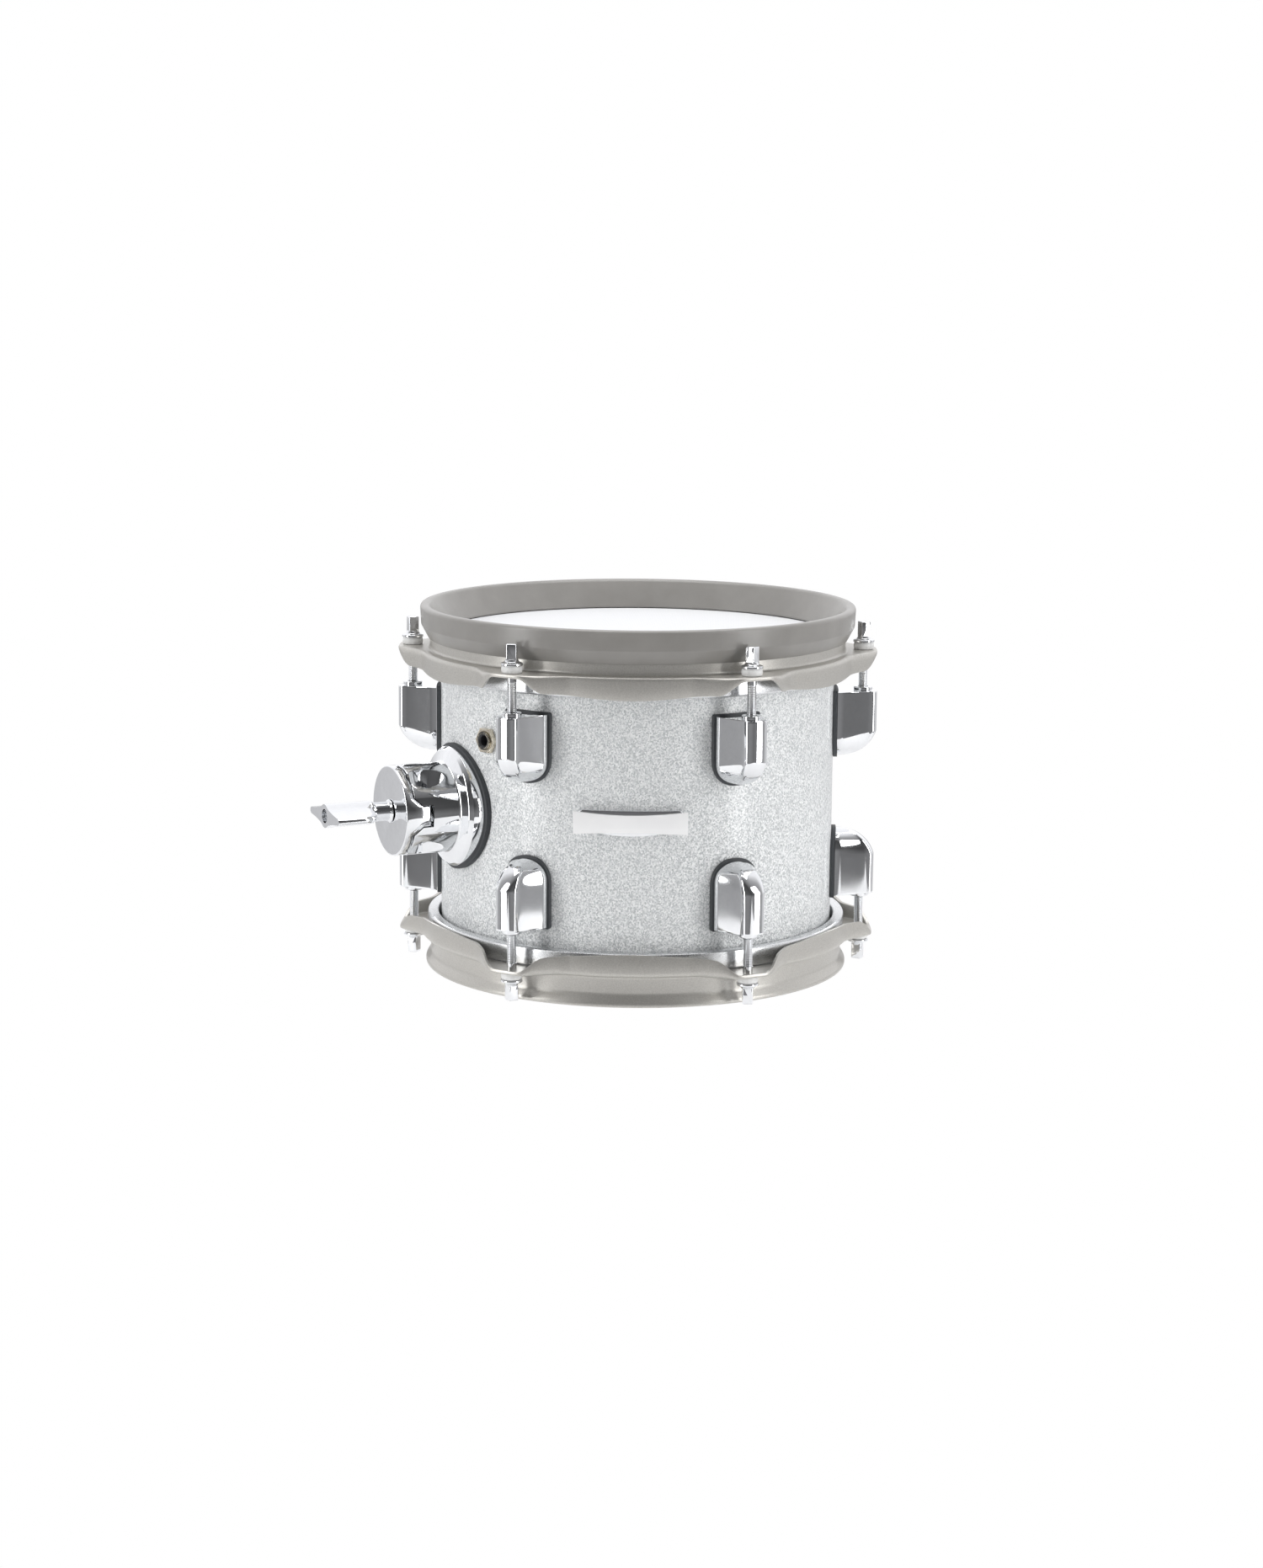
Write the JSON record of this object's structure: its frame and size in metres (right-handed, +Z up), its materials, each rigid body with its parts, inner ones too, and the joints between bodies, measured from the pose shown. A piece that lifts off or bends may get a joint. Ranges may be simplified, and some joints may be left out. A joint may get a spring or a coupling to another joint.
{
  "type": "electronic tom drum",
  "caption": "Electronic tom drum: sparkle-wrapped shell, lobed flanged hoops, rubber rim cover, mesh head, chrome lugs with tension rods, a side rod clamp with wing nut, output jack.",
  "frame": {"origin": "centre of the batter head's playing surface", "axes": "+Z up along the drum's axis, out of the playing surface; -Y towards the badge, which is the front of the picture; +X to the right of it, so the rod clamp stands out to the front left"},
  "size_m": [0.3577, 0.2816, 0.2346],
  "materials": {
    "shell_wrap": "silver sparkle wrap under clear gloss on a plywood shell",
    "hoop_metal": "warm grey satin plate on pressed steel",
    "rim_rubber": "matt warm grey rubber",
    "head_mesh": "white woven mesh under tension",
    "white_plastic": "white film head",
    "flesh_hoop": "drawn channel",
    "chrome_plate": "polished chrome plate",
    "zinc_steel": "zinc plated steel",
    "nickel_plate": "nickel plate with a gold tint",
    "badge_white": "white gloss plate, bare",
    "black_rubber": "black rubber",
    "black_plastic": "black moulded plastic",
    "grey_foam": "open grey foam"
  },
  "bodies": {
    "drum": {"shell": "shell_wrap", "batter_hoop": "hoop_metal", "bottom_hoop": "hoop_metal", "rim_cover": "rim_rubber", "batter_head": "head_mesh", "bottom_head": "white_plastic", "batter_flesh_hoop": "flesh_hoop", "bottom_flesh_hoop": "flesh_hoop", "mount_gasket": "black_rubber", "mount_base": "chrome_plate", "clamp_stud": "zinc_steel", "mount_backing_plate": "zinc_steel", "badge_plate": "badge_white", "badge_base": "chrome_plate", "jack_nut": "nickel_plate", "jack_socket": "black_plastic", "sensor_beam": "zinc_steel", "head_sensor": "black_plastic", "sensor_cone": "grey_foam", "rim_sensor": "black_plastic", "sensor_lead": "black_rubber", "lug_top_1": "chrome_plate", "lug_top_2": "chrome_plate", "lug_top_3": "chrome_plate", "lug_top_4": "chrome_plate", "lug_top_5": "chrome_plate", "lug_top_6": "chrome_plate", "lug_bottom_1": "chrome_plate", "lug_bottom_2": "chrome_plate", "lug_bottom_3": "chrome_plate", "lug_bottom_4": "chrome_plate", "lug_bottom_5": "chrome_plate", "lug_bottom_6": "chrome_plate", "lug_gasket_top_1": "black_rubber", "lug_gasket_top_2": "black_rubber", "lug_gasket_top_3": "black_rubber", "lug_gasket_top_4": "black_rubber", "lug_gasket_top_5": "black_rubber", "lug_gasket_top_6": "black_rubber", "lug_gasket_bottom_1": "black_rubber", "lug_gasket_bottom_2": "black_rubber", "lug_gasket_bottom_3": "black_rubber", "lug_gasket_bottom_4": "black_rubber", "lug_gasket_bottom_5": "black_rubber", "lug_gasket_bottom_6": "black_rubber"},
    "clamp_cap": {"clamp_cap": "chrome_plate"},
    "wing_nut": {"wing_nut": "chrome_plate"},
    "tension_rod_top_1": {"tension_rod_top_1": "chrome_plate"},
    "tension_rod_top_2": {"tension_rod_top_2": "chrome_plate"},
    "tension_rod_top_3": {"tension_rod_top_3": "chrome_plate"},
    "tension_rod_top_4": {"tension_rod_top_4": "chrome_plate"},
    "tension_rod_top_5": {"tension_rod_top_5": "chrome_plate"},
    "tension_rod_top_6": {"tension_rod_top_6": "chrome_plate"},
    "tension_rod_bottom_1": {"tension_rod_bottom_1": "chrome_plate"},
    "tension_rod_bottom_2": {"tension_rod_bottom_2": "chrome_plate"},
    "tension_rod_bottom_3": {"tension_rod_bottom_3": "chrome_plate"},
    "tension_rod_bottom_4": {"tension_rod_bottom_4": "chrome_plate"},
    "tension_rod_bottom_5": {"tension_rod_bottom_5": "chrome_plate"},
    "tension_rod_bottom_6": {"tension_rod_bottom_6": "chrome_plate"}
  },
  "joints": [
    {"name": "tension_rod_top_1_turn", "type": "hinge", "parent": "drum", "child": "tension_rod_top_1", "pos_m": [0.07285, -0.12618, 0], "axis": [0, 0, 1], "range_deg": [-90, 90]},
    {"name": "tension_rod_top_2_turn", "type": "hinge", "parent": "drum", "child": "tension_rod_top_2", "pos_m": [0.1457, 0, 0], "axis": [0, 0, 1], "range_deg": [-90, 90]},
    {"name": "tension_rod_top_3_turn", "type": "hinge", "parent": "drum", "child": "tension_rod_top_3", "pos_m": [0.07285, 0.12618, 0], "axis": [0, 0, 1], "range_deg": [-90, 90]},
    {"name": "tension_rod_top_4_turn", "type": "hinge", "parent": "drum", "child": "tension_rod_top_4", "pos_m": [-0.07285, 0.12618, 0], "axis": [0, 0, 1], "range_deg": [-90, 90]},
    {"name": "tension_rod_top_5_turn", "type": "hinge", "parent": "drum", "child": "tension_rod_top_5", "pos_m": [-0.1457, 0, 0], "axis": [0, 0, 1], "range_deg": [-90, 90]},
    {"name": "tension_rod_top_6_turn", "type": "hinge", "parent": "drum", "child": "tension_rod_top_6", "pos_m": [-0.07285, -0.12618, 0], "axis": [0, 0, 1], "range_deg": [-90, 90]},
    {"name": "tension_rod_bottom_1_turn", "type": "hinge", "parent": "drum", "child": "tension_rod_bottom_1", "pos_m": [0.07285, -0.12618, -0.205], "axis": [0, 0, -1], "range_deg": [-90, 90]},
    {"name": "tension_rod_bottom_2_turn", "type": "hinge", "parent": "drum", "child": "tension_rod_bottom_2", "pos_m": [0.1457, 0, -0.205], "axis": [0, 0, -1], "range_deg": [-90, 90]},
    {"name": "tension_rod_bottom_3_turn", "type": "hinge", "parent": "drum", "child": "tension_rod_bottom_3", "pos_m": [0.07285, 0.12618, -0.205], "axis": [0, 0, -1], "range_deg": [-90, 90]},
    {"name": "tension_rod_bottom_4_turn", "type": "hinge", "parent": "drum", "child": "tension_rod_bottom_4", "pos_m": [-0.07285, 0.12618, -0.205], "axis": [0, 0, -1], "range_deg": [-90, 90]},
    {"name": "tension_rod_bottom_5_turn", "type": "hinge", "parent": "drum", "child": "tension_rod_bottom_5", "pos_m": [-0.1457, 0, -0.205], "axis": [0, 0, -1], "range_deg": [-90, 90]},
    {"name": "tension_rod_bottom_6_turn", "type": "hinge", "parent": "drum", "child": "tension_rod_bottom_6", "pos_m": [-0.07285, -0.12618, -0.205], "axis": [0, 0, -1], "range_deg": [-90, 90]},
    {"name": "cap_slide", "type": "slide", "parent": "drum", "child": "clamp_cap", "axis": [-0.8829, -0.4695, 0], "range_m": [0, 0.00375]},
    {"name": "wing_nut_turn", "type": "hinge", "parent": "clamp_cap", "child": "wing_nut", "pos_m": [-0.15284, -0.08127, -0.1042], "axis": [-0.8829, -0.4695, 0], "range_deg": [0, 1081]}
  ],
  "couplings": [
    {"joint": "wing_nut_turn", "follows": "cap_slide", "rad_per_m": 5026.5}
  ]
}
